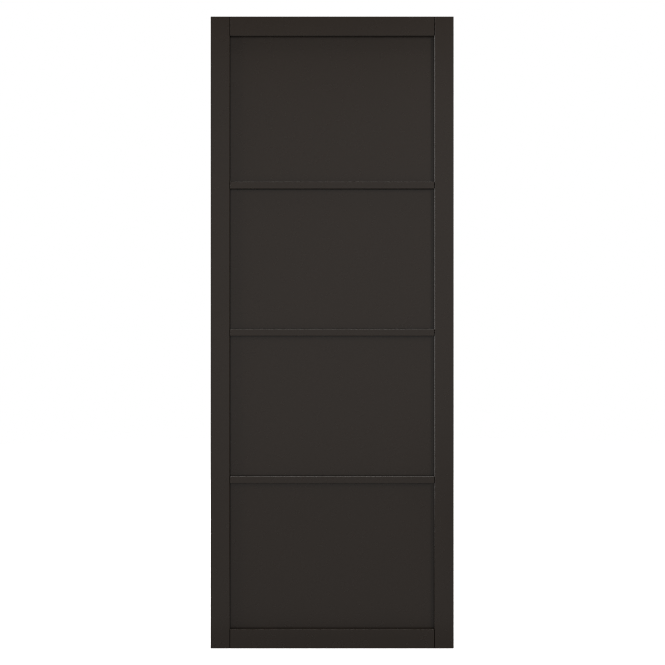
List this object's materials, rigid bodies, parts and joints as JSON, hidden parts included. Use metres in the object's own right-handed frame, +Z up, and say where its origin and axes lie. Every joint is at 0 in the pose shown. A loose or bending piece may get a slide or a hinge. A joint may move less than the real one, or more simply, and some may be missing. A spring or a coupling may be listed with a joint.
{
  "type": "panelled door leaf",
  "caption": "Panelled door leaf of stiles, rails and narrow flush bars around flat recessed panels, painted brown-black, made to be hung on hinges in a doorway.",
  "frame": {"origin": "middle of the leaf's bottom edge, halfway through its thickness", "axes": "+Z up the leaf, +X to the right seen from the front, front face towards -Y"},
  "size_m": [0.762, 0.044, 1.981],
  "materials": {
    "paint": "satin",
    "bare_wood": "matte"
  },
  "bodies": {
    "root": {"left_stile": "paint", "right_stile": "paint", "top_rail": "paint", "bottom_rail": "paint", "upper_bar": "paint", "middle_bar": "paint", "lower_bar": "paint", "top_panel": "paint", "upper_panel": "paint", "lower_panel": "paint", "bottom_panel": "paint", "rail_dowels": "bare_wood"}
  },
  "joints": []
}
